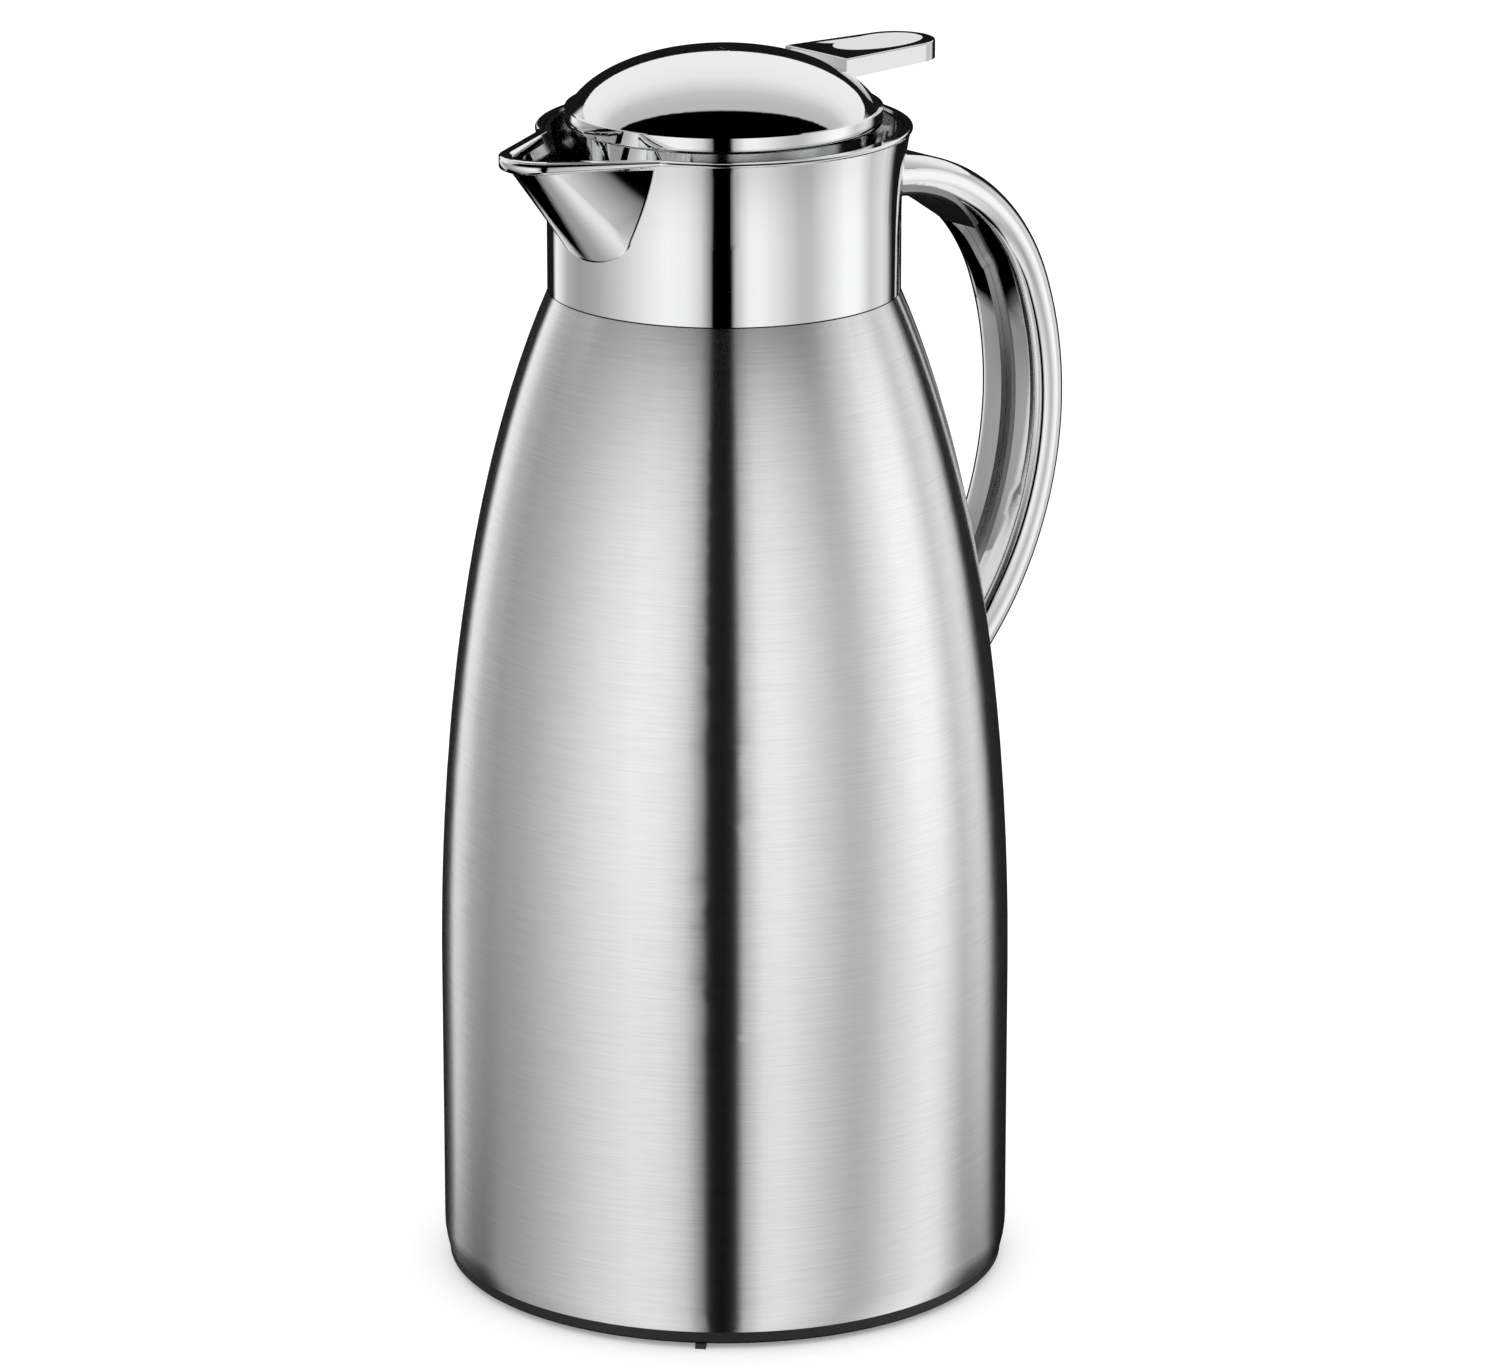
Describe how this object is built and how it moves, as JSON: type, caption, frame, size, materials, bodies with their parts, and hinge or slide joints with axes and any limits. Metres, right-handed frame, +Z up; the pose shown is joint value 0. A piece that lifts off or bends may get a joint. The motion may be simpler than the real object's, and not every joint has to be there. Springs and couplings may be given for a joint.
{
  "type": "thermal jug",
  "caption": "Tabletop vacuum jug with a brushed steel body, a glass flask, a chromed spout collar, a side handle and a domed lid that tips open on a thumb lever.",
  "frame": {"origin": "on the body's axis, on the plane that the foot ring stands on", "axes": "+Z up along the body's axis, +X towards the handle, -X towards the spout"},
  "size_m": [0.1624, 0.132, 0.2879],
  "materials": {
    "brushed_body": "brushed round the body, satin",
    "polished_chrome": "polished mirror",
    "chromed_plastic": "chromed plastic, semi-polished",
    "black_plastic": "fine matt",
    "grey_plastic": "fine matt",
    "foot_rubber": "matt",
    "seal_rubber": "matt",
    "flask_glass": "silvered on the vacuum side",
    "steel_fasteners": "bright zinc"
  },
  "bodies": {
    "jug": {"body_shell": "brushed_body", "base_ring": "black_plastic", "base_cap": "black_plastic", "foot_ring": "foot_rubber", "flask_outer_wall": "flask_glass", "flask_inner_wall": "flask_glass", "flask_cushion": "seal_rubber", "flask_spacer": "seal_rubber", "neck_seal": "seal_rubber", "collar": "polished_chrome", "neck_nut": "grey_plastic", "pour_insert": "grey_plastic", "hinge_pin": "steel_fasteners", "handle_outer_shell": "polished_chrome", "handle_inner_cover": "grey_plastic", "handle_top_bracket": "chromed_plastic", "handle_bottom_bracket": "grey_plastic", "handle_top_screw": "steel_fasteners", "handle_bottom_screw": "steel_fasteners", "handle_backing_plate": "steel_fasteners"},
    "lid": {"lid_dome": "polished_chrome", "lid_plug": "chromed_plastic", "plug_cap": "grey_plastic", "lid_seal": "seal_rubber", "lid_screws": "steel_fasteners", "thumb_lever": "polished_chrome", "lever_screws": "steel_fasteners"}
  },
  "joints": [
    {"name": "lid_hinge", "type": "hinge", "parent": "jug", "child": "lid", "pos_m": [0.036, 0, 0.2681], "axis": [0, 1, 0], "range_deg": [0, 50]}
  ]
}
